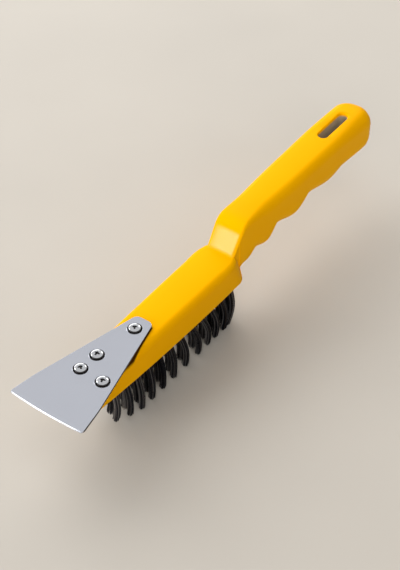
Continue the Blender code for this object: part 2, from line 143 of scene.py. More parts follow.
# Screws. RECESS_LEVELS is the size of the driver recess and its depth below the head's crown. Dirt and painted shade
# lie in the recess out to RECESS_REACH, and on the head's side from the rim radius outwards, up to that share of the
# crown.
HEAD_RADIUS = 0.0034
HEAD_HEIGHT = 0.0022
HEAD_CROWN = 0.0016
HEAD_SIDE = 0.30
HEAD_DOME = 1.1
SHANK_RADIUS = 0.0016
SHANK_HOLE_RADIUS = 0.0019
POCKET_RADIUS = 0.0046
RECESS_ARM = 0.0016
RECESS_HALF_WIDTH = 0.00045
RECESS_LEVELS = ((1.0, -0.0006), (1.0, 0.0001), (0.75, 0.0006), (0.36, 0.0011))
RECESS_REACH = 0.0018
RECESS_SINK = 0.00025
DIRT_AND_SHADE_RIM = 0.0020
DIRT_AND_SHADE_SHARE = 0.60
SCREW_TURNS = (0.35, 0.95, 0.10, 0.62)

# Tufts and their holes. Powers shape how a value grows from 0 to 1, the first for the outer rows or front columns.
HOLE_RADIUS = 0.0022
HOLE_DEPTH = 0.0057
TUFT_ROWS = "abcd"
TUFT_COLUMNS = 12
WIRE_RINGS = 8
WIRE_SIDES = 5
TIP_REACH = 0.0012
TIP_SLIM = 0.72
TIP_DOME_POWER = 2.4
JITTER_SHARE = 0.10
MIDDLE_STRAY = 0.4
BOW_SKEW = 1.15
BOW_COLUMNS = (4, 9)
SPREAD_POWERS = (0.8, 0.45)
# Painted light: the outer rows' wires are paler on the side that faces the light, more so in the front columns.
PAINTED_LIGHT_POWERS = (0.25, 0.4)
PAINTED_LIGHT_COLUMN = 5
PAINTED_LIGHT_SIDE = (-0.4, 0.9)
PAINTED_LIGHT_START = 0.35
CIRCLE_RADIUS = 0.01

# Worked out from the sizes and boxes above.
CORNER_X = BODY_LOW.x - NOSE_SETBACK
OVERALL_LENGTH = BODY_HIGH.x - CORNER_X
BLOCK_END = NOSE_SETBACK + BLOCK_LENGTH
NECK_FOOT = BLOCK_END - NECK_FOOT_OVERLAP
NECK_TOP = NECK_FOOT + NECK_SLOPE_LENGTH + NECK_ROUND_LENGTH
BLADE_BOTTOM = BLADE_TOP - BLADE_THICKNESS
FIT_GAP = 0.0003
BLOCK_TOP = BLADE_BOTTOM - FIT_GAP
SLOT_END = OVERALL_LENGTH - SLOT_END_DISTANCE
SCREW_NODES = [name for name in sorted(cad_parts) if name.startswith("blade_screw")]

# Fineness of the dressed shapes.
GRIP_STEP = 0.0013
TOP_ARC_STEPS = 8
SIDE_STEPS = 12
BOTTOM_ARC_STEPS = 6
SLOT_ARC_STEPS = 16
SLOT_RIM_STEPS = 6
CUTTING_EDGE_STEPS = 16
RIM_STEPS = 6
WALL_STEPS = 5
DOME_STEPS = 15


# Small sums

def share(value, start, end):
    """How far value is from start to end, from 0 to 1."""
    return min(max((value - start) / (end - start), 0), 1)


def mix(a, b, t):
    """Value from a at 0 to b at 1."""
    return a + (b - a) * t


def eased(t):
    """Smooth start and stop between 0 and 1."""
    return t * t * (3 - 2 * t)


def round_off(t):
    """Drop of a quarter round, from 0 at its start to 1 at its end."""
    return 1 - math.sqrt(max(1 - t * t, 0))


def place(station):
    """X of a station."""
    return CORNER_X + station


def even(start, end, count):
    """Stations from start up to, but not at, end."""
    return [mix(start, end, i / count) for i in range(count)]


# Shape of the body

def block_depth(station):
    t = share(station, NOSE_SETBACK, NOSE_SETBACK + NOSE_TAPER_LENGTH)
    return mix(NOSE_DEPTH, BLOCK_DEPTH, 1 - (1 - t) ** 2)


def grip_end_share(station):
    return share(station, OVERALL_LENGTH - GRIP_END_ROUND, OVERALL_LENGTH)


def swell_drop(station):
    """Drop of the grip's underside below the block's top."""
    start = BLOCK_END
    before = NECK_UNDER_DROP
    for length, swell, after in FINGER_SWELLS:
        if station <= start + length:
            break
        start += length
        before = after
    else:
        length = OVERALL_LENGTH - start
        swell = LAST_SWELL_DROP
        after = LAST_SWELL_DROP
    t = share(station, start, start + length)
    base = mix(before, after, t)
    return base + (swell - (before + after) / 2) * math.sin(math.pi * t ** SWELL_SKEW) ** SWELL_SHARPNESS


def bottom_height(station):
    block = BLOCK_TOP - block_depth(station)
    grip = BLOCK_TOP - swell_drop(station) + GRIP_END_HEEL * round_off(grip_end_share(station))
    return mix(block, grip, share(station, BLOCK_END - REAR_EDGE_SLANT, BLOCK_END))


def top_height(station):
    """Flat block top, filleted foot, steep neck face, rounded brow, nearly level grip top and crowned end."""
    steepness = NECK_SLOPE_RISE / NECK_SLOPE_LENGTH
    slope_end = NECK_FOOT + NECK_SLOPE_LENGTH
    beyond = station - NECK_FOOT
    if abs(beyond) < NECK_FOOT_FILLET:
        return BLOCK_TOP + steepness * (beyond + NECK_FOOT_FILLET) ** 2 / (4 * NECK_FOOT_FILLET)
    if station <= slope_end:
        return BLOCK_TOP + max(beyond, 0) * steepness
    t = share(station, slope_end, NECK_TOP)
    brow = NECK_RISE - NECK_SLOPE_RISE
    power = steepness * NECK_ROUND_LENGTH / brow
    rise = GRIP_END_RISE * share(station, NECK_TOP, OVERALL_LENGTH)
    crown = GRIP_END_CROWN * round_off(grip_end_share(station))
    return BLOCK_TOP + NECK_SLOPE_RISE + brow * (1 - (1 - t) ** power) + rise - crown


def grip_half_width(station):
    middle = mix(NECK_TOP, OVERALL_LENGTH, GRIP_MIDDLE)
    widening = eased(share(station, NECK_FOOT - NECK_WIDTH, middle)) ** GRIP_WIDENING
    full = mix(NECK_WIDTH, GRIP_MIDDLE_WIDTH, widening)
    full = mix(full, GRIP_END_WIDTH, share(station, middle, SLOT_END))
    return mix(full, full * GRIP_END_FLAT, round_off(grip_end_share(station))) / 2


def half_width(station, height):
    """Half the body's width at a height: the block's side, and the grip's beyond the block's rear corner."""
    level = share(height, BLOCK_TOP, BLOCK_TOP - BLOCK_DEPTH)
    grip = grip_half_width(station)
    taper = eased(share(station, NOSE_SETBACK, NOSE_SETBACK + NOSE_TAPER_LENGTH))
    top = mix(NOSE_TOP_WIDTH, BLOCK_TOP_WIDTH, taper)
    full = mix(top, BLOCK_BOTTOM_WIDTH, level) / 2
    nose = NOSE_CORNER * round_off(1 - share(station, NOSE_SETBACK, NOSE_SETBACK + NOSE_CORNER))
    end = mix(NECK_FOOT, BLOCK_END, math.sqrt(level))
    corner = mix(SHOULDER_LENGTH, REAR_CORNER, level ** 0.6)
    rear = round_off(share(station, end - corner, end))
    if station >= end:
        return grip
    return mix(full - nose, grip, rear)


def top_round(station):
    """Radius of the edges along the body's top."""
    neck = mix(BLOCK_TOP_ROUND, NECK_EDGE_ROUND, share(station, NECK_FOOT - SHOULDER_LENGTH, NECK_FOOT))
    beyond = eased(share(station, NECK_FOOT + NECK_SLOPE_LENGTH, NECK_TOP + NECK_RISE))
    end = eased(share(station, OVERALL_LENGTH - GRIP_END_SOFTENING, OVERALL_LENGTH))
    return mix(mix(neck, GRIP_TOP_ROUND, beyond), GRIP_END_TOP_ROUND, end)


def bottom_round(station):
    beyond = share(station, BLOCK_END - REAR_CORNER, BLOCK_END + REAR_CORNER)
    return mix(BLOCK_BOTTOM_ROUND, GRIP_BOTTOM_ROUND, beyond)


def body_section(station):
    """Ring of (y, z) points round the body at a station. Past the neck's foot its side starts at the block's rear."""
    top = top_height(station)
    bottom = bottom_height(station)
    side_top = half_width(station, min(top, BLOCK_TOP))
    side_bottom = half_width(station, bottom)
    limit = min(side_top, side_bottom, (top - bottom) / 2) * 0.95
    upper = min(top_round(station), limit)
    lower = min(bottom_round(station), limit)
    high = top - upper
    if station < BLOCK_END:
        high = min(high, BLOCK_TOP - BLOCK_DEPTH * share(station, NECK_FOOT, BLOCK_END) ** 2)
    low = bottom + lower
    half = []
    for i in range(TOP_ARC_STEPS + 1):
        angle = math.pi / 2 * i / TOP_ARC_STEPS
        height = high if i == TOP_ARC_STEPS else top - upper * (1 - math.cos(angle))
        half.append((half_width(station, height) - upper * (1 - math.sin(angle)), height))
    for i in range(1, SIDE_STEPS):
        height = mix(high, low, (i / SIDE_STEPS) ** 2)
        half.append((half_width(station, height), height))
    for i in range(BOTTOM_ARC_STEPS + 1):
        angle = math.pi / 2 * i / BOTTOM_ARC_STEPS
        half.append((side_bottom - lower * (1 - math.cos(angle)), bottom + lower * (1 - math.sin(angle))))
    return half + [(-y, z) for y, z in reversed(half)]


def body_stations():
    nose_end = NOSE_SETBACK + NOSE_CORNER
    shoulder = NECK_FOOT - SHOULDER_LENGTH
    fillet = NECK_FOOT_FILLET
    slope_end = NECK_FOOT + NECK_SLOPE_LENGTH
    end_start = OVERALL_LENGTH - GRIP_END_ROUND
    stations = [mix(nose_end, NOSE_SETBACK, math.sin(math.pi / 2 * i / 10)) for i in range(10, 0, -1)]
    stations += even(nose_end, shoulder, 24) + even(shoulder, NECK_FOOT - fillet, 12)
    stations += even(NECK_FOOT - fillet, NECK_FOOT + fillet, 6)
    stations += even(NECK_FOOT + fillet, BLOCK_END - REAR_EDGE_SLANT, 14)
    stations += [BLOCK_END - REAR_EDGE_SLANT] + even(BLOCK_END, slope_end, 2) + even(slope_end, NECK_TOP, 10)
    ends = []
    start = BLOCK_END
    for length, _, _ in FINGER_SWELLS:
        start += length
        ends.append(start)
    marks = [NECK_TOP, *[end for end in ends if end > NECK_TOP], end_start]
    for mark, following in zip(marks, marks[1:]):
        stations += even(mark, following, max(2, round((following - mark) / GRIP_STEP)))
    stations += [mix(end_start, OVERALL_LENGTH, math.sin(math.pi / 2 * i / 14)) for i in range(15)]
    return stations


# Modelling helpers

def deselect_all():
    bpy.ops.object.select_all(action="DESELECT")


def chosen(obj):
    """Selects one object alone and makes it active."""
    deselect_all()
    obj.select_set(True)
    bpy.context.view_layer.objects.active = obj


def finished(obj, name):
    """Names a piece that has just been modelled and puts its place into its mesh."""
    chosen(obj)
    bpy.ops.object.transform_apply(location=True, rotation=True, scale=True)
    obj.name = name
    obj.data.name = name
    return obj


def drawn_circle(count, name):
    """Filled ring of points, ready for shaping."""
    deselect_all()
    bpy.ops.mesh.primitive_circle_add(vertices=count, radius=CIRCLE_RADIUS, fill_type="NGON")
    return finished(bpy.context.object, name)


def outwards(obj):
    """Turns a closed piece's normals outward."""
    chosen(obj)
    bpy.ops.object.mode_set(mode="EDIT")
    bpy.ops.mesh.select_all(action="SELECT")
    bpy.ops.mesh.normals_make_consistent(inside=False)
    bpy.ops.object.mode_set(mode="OBJECT")


def extruded(obj, step, count):
    """Extrudes a filled ring several times along Z."""
    chosen(obj)
    bpy.ops.object.mode_set(mode="EDIT")
    bpy.ops.mesh.select_all(action="SELECT")
    for _ in range(count):
        bpy.ops.mesh.extrude_region_move(TRANSFORM_OT_translate={"value": (0, 0, step)})
    bpy.ops.object.mode_set(mode="OBJECT")
    outwards(obj)


def lofted(rings, name):
    """Closed skin through rings of as many points: a filled circle is extruded once a ring, then drawn to shape."""
    count = len(rings[0])
    step = 0.001
    obj = drawn_circle(count, name)
    extruded(obj, step, len(rings) - 1)
    for vertex in obj.data.vertices:
        level = round(vertex.co.z / step)
        angle = math.atan2(vertex.co.y, vertex.co.x)
        around = round(angle / (2 * math.pi) * count) % count
        vertex.co = rings[level][around]
    outwards(obj)
    return obj


def turned(profile, sides, name, centre=(0, 0, 0)):
    """Turned shape from (radius, z) pairs, with flat ends."""
    rings = []
    for radius, z in profile:
        ring = []
        for i in range(sides):
            angle = 2 * math.pi * i / sides
            ring.append((centre[0] + radius * math.cos(angle), centre[1] + radius * math.sin(angle), centre[2] + z))
        rings.append(ring)
    return lofted(rings, name)


def applied(obj, kind, name, **settings):
    """Adds a modifier, sets it and applies it."""
    modifier = obj.modifiers.new(name, kind)
    for key, value in settings.items():
        setattr(modifier, key, value)
    chosen(obj)
    bpy.ops.object.modifier_apply(modifier=modifier.name)


def cut(obj, other, operation="DIFFERENCE"):
    """Boolean with a helper, which is then deleted."""
    applied(obj, "BOOLEAN", "cut", operation=operation, solver="EXACT", object=other)
    bpy.data.objects.remove(other, do_unlink=True)


def joined(objects, name):
    chosen(objects[0])
    for obj in objects:
        obj.select_set(True)
    bpy.ops.object.join()
    return finished(objects[0], name)


def smoothed(obj, degrees, weighted=False):
    chosen(obj)
    bpy.ops.object.shade_smooth_by_angle(angle=math.radians(degrees))
    if weighted:
        applied(obj, "WEIGHTED_NORMAL", "even faces", keep_sharp=True, weight=80)


def mark_faces(obj, values):
    """Stores one value for each face, which the finish reads as dull steel and painted shade."""
    layer = obj.data.attributes.new("dull_and_shade", "FLOAT", "FACE")
    layer.data.foreach_set("value", values)


def dressed(obj, finish, slot, *nodes):
    """Gives a finished piece its material and its place in the frame."""
    obj.data.materials.clear()
    obj.data.materials.append(finish)
    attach(obj, "root")
    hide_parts(*nodes)


# Body

def slot_ring(inset, height):
    radius = SLOT_WIDTH / 2 + inset
    centres = (place(SLOT_END) - SLOT_WIDTH / 2, place(SLOT_END - SLOT_LENGTH) + SLOT_WIDTH / 2)
    ring = []
    for side, centre in enumerate(centres):
        for i in range(SLOT_ARC_STEPS + 1):
            angle = math.pi * (i / SLOT_ARC_STEPS - 0.5 + side)
            ring.append((centre + radius * math.cos(angle), radius * math.sin(angle), height))
    return ring


def slot_cutter():
    """Slot prism that flares at the grip's top and underside."""
    middle = SLOT_END - SLOT_LENGTH / 2
    rings = []
    for surface, outward in ((top_height(middle), 1), (bottom_height(middle), -1)):
        flare = []
        for i in range(SLOT_RIM_STEPS + 1):
            angle = math.pi / 2 * i / SLOT_RIM_STEPS
            inset = SLOT_RIM_ROUND * (1 - math.cos(angle))
            flare.append((inset, surface - outward * SLOT_RIM_ROUND * (1 - math.sin(angle))))
        flare.append((SLOT_RIM_ROUND, surface + outward * GRIP_BOTTOM_ROUND))
        rings += reversed(flare) if outward > 0 else flare
    return lofted([slot_ring(inset, height) for inset, height in rings], "slot cutter")


def tuft_roots():
    """Centre of each tuft's root plug, and the height of its hole's mouth, by node."""
    roots = {}
    for name in [f"wire_tuft_{column + 1:02d}_{row}" for column in range(TUFT_COLUMNS) for row in TUFT_ROWS]:
        points = [vertex.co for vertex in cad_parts[name].data.vertices]
        top = max(point.z for point in points)
        plug = [point for point in points if point.z > top - HOLE_DEPTH / 2]
        centre = sum(plug, Vector()) / len(plug)
        roots[name] = Vector((centre.x, centre.y, top - HOLE_DEPTH))
    return roots


def build_body():
    rings = [[(place(station), y, z) for y, z in body_section(station)] for station in body_stations()]
    body = lofted(rings, "moulded_body")
    cut(body, slot_cutter())
    profile = ((HOLE_RADIUS, -HOLE_RADIUS), (HOLE_RADIUS, HOLE_DEPTH + FIT_GAP))
    cut(body, joined([turned(profile, 20, "tuft hole", root) for root in tuft_roots().values()], "tuft holes"))
    floor = BLADE_BOTTOM - DIMPLE_DEPTH - 2 * FIT_GAP
    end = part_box(SCREW_NODES[0])[0].z - FIT_GAP
    profile = ((POCKET_RADIUS, BLADE_BOTTOM), (POCKET_RADIUS, floor), (SHANK_HOLE_RADIUS, floor),
               (SHANK_HOLE_RADIUS, end))
    cut(body, joined([turned(profile, 32, "pocket", (x, y, 0)) for x, y in screw_spots()], "pockets"))
    smoothed(body, 32)
    return body


# Blade

def corner_arc(before, corner, after, radius, steps):
    """Points of the arc that rounds one corner of a flat outline."""
    corner = Vector(corner)
    back = (Vector(before) - corner).normalized()
    ahead = (Vector(after) - corner).normalized()
    half = back.angle(ahead) / 2
    centre = corner + (back + ahead).normalized() * (radius / math.sin(half))
    start = corner + back * (radius / math.tan(half)) - centre
    end = corner + ahead * (radius / math.tan(half)) - centre
    turn = math.atan2(start.cross(end), start.dot(end))
    return [tuple(centre + Matrix.Rotation(turn * i / steps, 2) @ start) for i in range(steps + 1)]


def blade_outline(grind):
    """Flat outline of the blade, with its cutting edge set back by grind."""
    half = BLADE_WIDTH / 2
    front = []
    for i in range(CUTTING_EDGE_STEPS + 1):
        t = 2 * i / CUTTING_EDGE_STEPS - 1
        front.append((place(grind - BLADE_BULGE * (1 - t * t)), -t * (half - BLADE_TIP_ROUND)))
    tip = (place(grind), half)
    lip_point = (place(BLADE_LIP_LENGTH), BLADE_LIP_WIDTH / 2)
    tail_point = (place(BLADE_LENGTH), BLADE_TAIL_WIDTH / 2)
    far = corner_arc(front[0], tip, lip_point, BLADE_TIP_ROUND * 0.8, 6)
    far += corner_arc(tip, lip_point, tail_point, BLADE_LIP_ROUND, 6)
    far += corner_arc(lip_point, tail_point, (place(BLADE_LENGTH), 0), BLADE_TAIL_ROUND, 10)
    near = [(x, -y) for x, y in far]
    return front[1:-1] + near + far[::-1]


def dent_profile(sink):
    """Radius and drop of the sheet round a screw: a polished sloping rim, a pressed wall and a flat floor."""
    profile = [(DENT_REACH, 0)]
    for i in range(RIM_STEPS + 1):
        t = i / RIM_STEPS
        profile.append((mix(RIM_RADIUS, WALL_RADIUS, t), -sink * t ** 1.3))
    for i in range(1, WALL_STEPS + 1):
        t = i / WALL_STEPS
        profile.append((mix(WALL_RADIUS, FLOOR_RADIUS, t), mix(-sink, -PRESSED_DEPTH, eased(t))))
    return profile


def weigh_blade_edges(blade):
    """Sets how much each sharp edge is rounded: fully along the far side's top, where the shears rolled it over."""
    mesh = bmesh.new()
    mesh.from_mesh(blade.data)
    weights = mesh.edges.layers.float.new("bevel_weight_edge")
    for edge in mesh.edges:
        sharp = edge.calc_face_angle(0) > math.radians(25)
        middle = (edge.verts[0].co + edge.verts[1].co) / 2
        rolled = middle.y > 0 and middle.z > BLADE_TOP - SURFACE_SLACK and middle.x > place(GROUND_REACH)
        edge[weights] = (1.0 if rolled else 0.3) if sharp else 0.0
    mesh.to_mesh(blade.data)
    mesh.free()


def mark_blade_faces(blade):
    """Keeps the sheet's two flats truly flat, and marks dull steel with painted shade on the sheared edges, all round
    on the near side, and painted shade in the gaps round the screws.
    """
    values = []
    spots = screw_spots()
    for face in blade.data.polygons:
        centre = face.center
        flat = abs(face.normal.z) > 0.9999 and face.area > 0.0001
        face.use_smooth = not flat
        screw = min(math.dist(centre.xy, spot) for spot in spots)
        # Painted shade: dark sheared edges, all round on the near side, and dark gaps round the screws.
        edge = abs(face.normal.z) < 0.8 and screw > DENT_REACH and centre.x > place(GROUND_REACH)
        near = centre.y < 0 or abs(face.normal.z) < 0.1
        shaded_gap = screw < WALL_RADIUS and BLADE_BOTTOM + SURFACE_SLACK < centre.z < BLADE_TOP - SURFACE_SLACK
        values.append(1.0 if edge and near or shaded_gap else 0.0)
    mark_faces(blade, values)


def screw_spots():
    """X and Y of each screw."""
    spots = []
    for name in SCREW_NODES:
        low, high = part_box(name)
        spots.append(((low.x + high.x) / 2, (low.y + high.y) / 2))
    return spots


def build_blade(sizes):
    heights = ((UNDERCUT, BLADE_BOTTOM), (0, BLADE_BOTTOM + sizes.edge_land), (sizes.grind_length, BLADE_TOP))
    blade = lofted([[(x, y, z) for x, y in blade_outline(grind)] for grind, z in heights], "scraper_plate")
    weigh_blade_edges(blade)
    applied(blade, "BEVEL", "edge round", width=sizes.edge_round, segments=3, limit_method="WEIGHT")
    bump = [(radius, BLADE_BOTTOM + rise) for radius, rise in DIMPLE_BULGE]
    hollow = [(DENT_REACH, BLADE_TOP + DIMPLE_DEPTH)]
    hollow += [(radius, BLADE_TOP + drop) for radius, drop in dent_profile(sizes.dent_sink)]
    hollow += [(SHANK_HOLE_RADIUS, BLADE_TOP - PRESSED_DEPTH), (SHANK_HOLE_RADIUS, BLADE_BOTTOM - 2 * DIMPLE_DEPTH)]
    spots = screw_spots()
    bumps = [turned(bump, 48, "bump", (x, y, 0)) for x, y in spots]
    hollows = [turned(hollow, 64, "hollow", (x, y, 0)) for x, y in spots]
    cut(blade, joined(bumps, "bumps"), "UNION")
    cut(blade, joined(hollows, "hollows"))
    smoothed(blade, 30)
    mark_blade_faces(blade)
    return blade


# Screws

def recess_cutter():
    """Tapered cross with rounded arms for the driver recess."""
    rings = []
    for scale, drop in RECESS_LEVELS:
        long = RECESS_ARM * scale
        short = RECESS_HALF_WIDTH * (scale + 1) / 2
        arm = [(long, -short), (long + short * 0.4, 0), (long, short), (short * 1.25, short * 1.25)]
        ring = []
        for quarter in range(4):
            turn = Matrix.Rotation(math.pi / 2 * quarter, 2)
            ring += [turn @ Vector(point) for point in arm]
        rings.append([(point.x, point.y, HEAD_CROWN - drop) for point in ring])
    return lofted(rings, "recess")


def dome_height(steepness):
    """Height of the head's dome, from its rim at 0 to its crown at 1."""
    return HEAD_CROWN * mix(HEAD_SIDE, 1, steepness ** HEAD_DOME)


def mark_dirt_and_shade(screw):
    """Marks the faces that get dirt and painted shade: the driver recess and the head's rim down in its dimple."""
    values = []
    for face in screw.data.polygons:
        reach = face.center.xy.length
        dome = dome_height(math.sqrt(max(1 - (reach / HEAD_RADIUS) ** 2, 0)))
        recess = reach < RECESS_REACH and 0 < face.center.z < dome - RECESS_SINK
        rim = reach > DIRT_AND_SHADE_RIM and 0 < face.center.z < HEAD_CROWN * DIRT_AND_SHADE_SHARE
        values.append(1.0 if recess or rim else 0.0)
    mark_faces(screw, values)


def build_screw(name, turn):
    """Pan head with a cross recess on a plain shank, turned as it was driven."""
    low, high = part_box(name)
    seat = high.z - HEAD_HEIGHT
    profile = [(SHANK_RADIUS * 0.2, low.z - seat), (SHANK_RADIUS, low.z - seat + 0.0020), (SHANK_RADIUS, 0),
               (HEAD_RADIUS * 0.94, 0), (HEAD_RADIUS * 0.985, 0.00015)]
    for i in range(DOME_STEPS):
        angle = math.pi / 2 * i / DOME_STEPS
        profile.append((HEAD_RADIUS * math.cos(angle) ** 0.85, dome_height(math.sin(angle))))
    screw = turned(profile, 48, "screw")
    cut(screw, recess_cutter())
    applied(screw, "BEVEL", "edge round", width=0.00008, segments=2, limit_method="ANGLE",
            angle_limit=math.radians(35))
    smoothed(screw, 40, weighted=True)
    mark_dirt_and_shade(screw)
    screw.rotation_euler = (0, 0, turn)
    screw.location = ((low.x + high.x) / 2, (low.y + high.y) / 2, seat)
    return finished(screw, name.replace("blade_screw", "pan_head"))


# Wire tufts

def build_wire():
    """One straight wire of unit length and radius: a drawn circle extruded down."""
    wire = drawn_circle(WIRE_SIDES, "wire")
    extruded(wire, -1 / WIRE_RINGS, WIRE_RINGS)
    scale = 1 / CIRCLE_RADIUS
    for vertex in wire.data.vertices:
        vertex.co.x *= scale
        vertex.co.y *= scale
    outwards(wire)
    return wire


def hexagon_places(rings):
    """Centres of a hexagonal bundle, in steps of one spacing, from the middle out."""
    places = [Vector((0, 0))]
    for ring in range(1, rings + 1):
        corner = Vector((ring, 0))
        for side in range(6):
            start = Matrix.Rotation(math.pi / 3 * side, 2) @ corner
            end = Matrix.Rotation(math.pi / 3 * (side + 1), 2) @ corner
            for i in range(ring):
                places.append(start.lerp(end, i / ring))
    return places


def tuft_line(name, root):
    """How far the tips of a tuft's CAD solid stand from its root, and their height."""
    points = [vertex.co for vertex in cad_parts[name].data.vertices]
    low = min(point.z for point in points)
    tips = [point for point in points if point.z < low + TIP_REACH]
    centre = sum(tips, Vector()) / len(tips)
    return Vector((centre.x - root.x, centre.y - root.y, 0)), low


def build_tuft(name, root, wire, settings, dice):
    """A packed bundle of wires that leaves its hole straight and bends to where the solid's tips stand."""
    lean, low = tuft_line(name, root)
    column, row = int(name[-4:-2]), name[-1]
    outer = row in (TUFT_ROWS[0], TUFT_ROWS[-1])
    side = -1 if root.y < 0 else 1
    rear = eased(share(column, *BOW_COLUMNS))
    bow = Vector((mix(settings.front_bow, settings.rear_bow, rear), settings.side_bow * side))
    paler = 0.0 if outer else settings.inner_tone
    splay = settings.tip_splay if outer else settings.inner_splay
    spread_power = SPREAD_POWERS[0 if outer else 1]
    painted_light_power = PAINTED_LIGHT_POWERS[0 if column < PAINTED_LIGHT_COLUMN else 1]
    turn = Matrix.Rotation(dice.uniform(0, math.pi), 2)
    reach = settings.wire_rings
    coords = [vertex.co.copy() for vertex in wire.data.vertices]
    faces = [tuple(polygon.vertices) for polygon in wire.data.polygons]
    points, polygons, tones = [], [], []
    inner = root.z + HOLE_DEPTH * 0.6
    for spot in hexagon_places(reach):
        packed = turn @ spot
        far = packed.length / reach
        jitter = Vector((dice.gauss(0, 1), dice.gauss(0, 1))) * settings.wire_spacing * JITTER_SHARE
        stray = Vector((dice.gauss(0, 1), dice.gauss(0, 1))) * settings.tip_stray * (MIDDLE_STRAY + far)
        end = low + settings.tip_dome * far ** TIP_DOME_POWER + abs(dice.gauss(0, 1)) * settings.length_spread
        if far == 0:
            end = low
        tone = dice.random() ** (1 - paler)
        # Painted highlight: paler wires on the side of an outer tuft that faces the light.
        if outer and packed.x * PAINTED_LIGHT_SIDE[0] + packed.y * PAINTED_LIGHT_SIDE[1] > reach * PAINTED_LIGHT_START:
            tone = tone ** painted_light_power
        spin = Matrix.Rotation(dice.uniform(0, 2 * math.pi), 2)
        base = len(points)
        for co in coords:
            t = -co.z
            z = mix(inner, end, t)
            s = share(z, root.z, end)
            spread = settings.wire_spacing * mix(1, splay, s ** spread_power)
            arc = math.sin(math.pi * s ** BOW_SKEW)
            slim = settings.wire_diameter / 2 * (TIP_SLIM if t > 0.999 else 1)
            x = packed.x * spread + jitter.x + stray.x * s ** 2 + lean.x * s + bow.x * arc
            y = packed.y * spread + jitter.y + stray.y * s ** 2 + lean.y * s + bow.y * arc
            local = spin @ Vector((co.x, co.y))
            points.append((root.x + x + local.x * slim, root.y + y + local.y * slim, z))
        polygons += [tuple(base + index for index in face) for face in faces]
        tones += [tone] * len(coords)
    tuft = wire.copy()
    tuft.data = bpy.data.meshes.new(name)
    tuft.data.from_pydata(points, [], polygons)
    bpy.context.scene.collection.objects.link(tuft)
    tone_layer = tuft.data.attributes.new("wire_tone", "FLOAT", "POINT")
    tone_layer.data.foreach_set("value", tones)
    smoothed(tuft, 50)
    return finished(tuft, name.replace("wire_tuft", "tuft"))


# Node helpers

def add_node(tree, kind, links=None, **values):
    """New node. A value or link goes to the input of that name, and any other value to the node's own property."""
    node = tree.nodes.new(kind)
    for key, value in values.items():
        if key in node.inputs:
            node.inputs[key].default_value = value
        else:
            setattr(node, key, value)
    for key, socket in (links or {}).items():
        tree.links.new(socket, node.inputs[key])
    return node


def object_place(tree):
    """Socket of the shaded point's place in the piece's own space."""
    return tree.nodes.new("ShaderNodeTexCoord").outputs["Object"]


def kept_group(name, output, inputs, fill):
    """Shader node group with number or vector inputs and one output. It is filled once and then found by its name."""
    found = bpy.data.node_groups.get(name)
    if found:
        return found
    group = bpy.data.node_groups.new(name, "ShaderNodeTree")
    for label, default in inputs.items():
        kind = "NodeSocketVector" if isinstance(default, tuple) else "NodeSocketFloat"
        group.interface.new_socket(name=label, in_out="INPUT", socket_type=kind).default_value = default
    group.interface.new_socket(name=output, in_out="OUTPUT", socket_type="NodeSocketFloat")
    given = group.nodes.new("NodeGroupInput").outputs
    group.links.new(fill(group, given), group.nodes.new("NodeGroupOutput").inputs[output])
    return group


def fill_grain(tree, given):
    stretch = add_node(tree, "ShaderNodeVectorMath", {0: object_place(tree), 1: given["Stretch"]},
                       operation="MULTIPLY")
    noise = add_node(tree, "ShaderNodeTexNoise", {"Vector": stretch.outputs[0], "Scale": given["Scale"]},
                     Detail=3.0, Roughness=0.55)
    return noise.outputs["Fac"]


def fill_marks(tree, given):
    noise = add_node(tree, "ShaderNodeTexNoise", {"Vector": object_place(tree), "Scale": given["Scale"]},
                     Detail=2.0, Roughness=0.5)
    links = {"Value": noise.outputs["Fac"], "To Min": given["Low"], "To Max": given["High"]}
    return add_node(tree, "ShaderNodeMapRange", links, **{"From Min": 0.3, "From Max": 0.7}).outputs["Result"]


def placed_group(tree, group, **values):
    """Uses a node group in a tree and gives its only output."""
    node = add_node(tree, "ShaderNodeGroup", node_tree=group)
    for key, value in values.items():
        node.inputs[key].default_value = value
    return node.outputs[0]


def handling_marks(tree, scale, low=0.0, high=1.0):
    """Broad soft patches between two values, as handling and cleaning leave them."""
    group = kept_group("handling marks", "Value", {"Scale": 40.0, "Low": 0.3, "High": 0.5}, fill_marks)
    return placed_group(tree, group, Scale=scale, Low=low, High=high)


def grain_in(tree, shader, scale, strength, distance, stretch=(1.0, 1.0, 1.0)):
    """Bumps a surface with fine moulded or ground grain, and gives the grain for its colour too."""
    group = kept_group("fine grain", "Grain", {"Scale": 900.0, "Stretch": (1.0, 1.0, 1.0)}, fill_grain)
    grain = placed_group(tree, group, Scale=scale, Stretch=stretch)
    node = add_node(tree, "ShaderNodeBump", {"Height": grain}, Strength=strength, Distance=distance)
    tree.links.new(node.outputs["Normal"], shader.inputs["Normal"])
    return grain


def new_material(name, metallic, roughness):
    material = bpy.data.materials.new(name)
    material.use_nodes = True
    shader = material.node_tree.nodes["Principled BSDF"]
    shader.inputs["Metallic"].default_value = metallic
    shader.inputs["Roughness"].default_value = roughness
    return material, material.node_tree, shader


def vary_roughness(tree, shader, scale, roughness, below, above):
    """Lets the roughness drift a little below and above its setting in broad patches."""
    tree.links.new(handling_marks(tree, scale, roughness - below, roughness + above), shader.inputs["Roughness"])


def band(tree, value, low, high, to_low=0.0, to_high=1.0):
    """Smooth step of a value between two limits."""
    limits = {"From Min": low, "From Max": high, "To Min": to_low, "To Max": to_high}
    node = add_node(tree, "ShaderNodeMapRange", {"Value": value}, interpolation_type="SMOOTHSTEP", **limits)
    return node.outputs["Result"]


def fall(tree, value, low, high):
    """Smooth step down from 1 to 0."""
    return band(tree, value, low, high, 1.0, 0.0)


def combined(tree, operation, first, *others, kind="ShaderNodeMath"):
    """Runs one operation over two or more sockets, such as a product or a sum."""
    for other in others:
        first = add_node(tree, kind, {0: first, 1: other}, operation=operation).outputs[0]
    return first


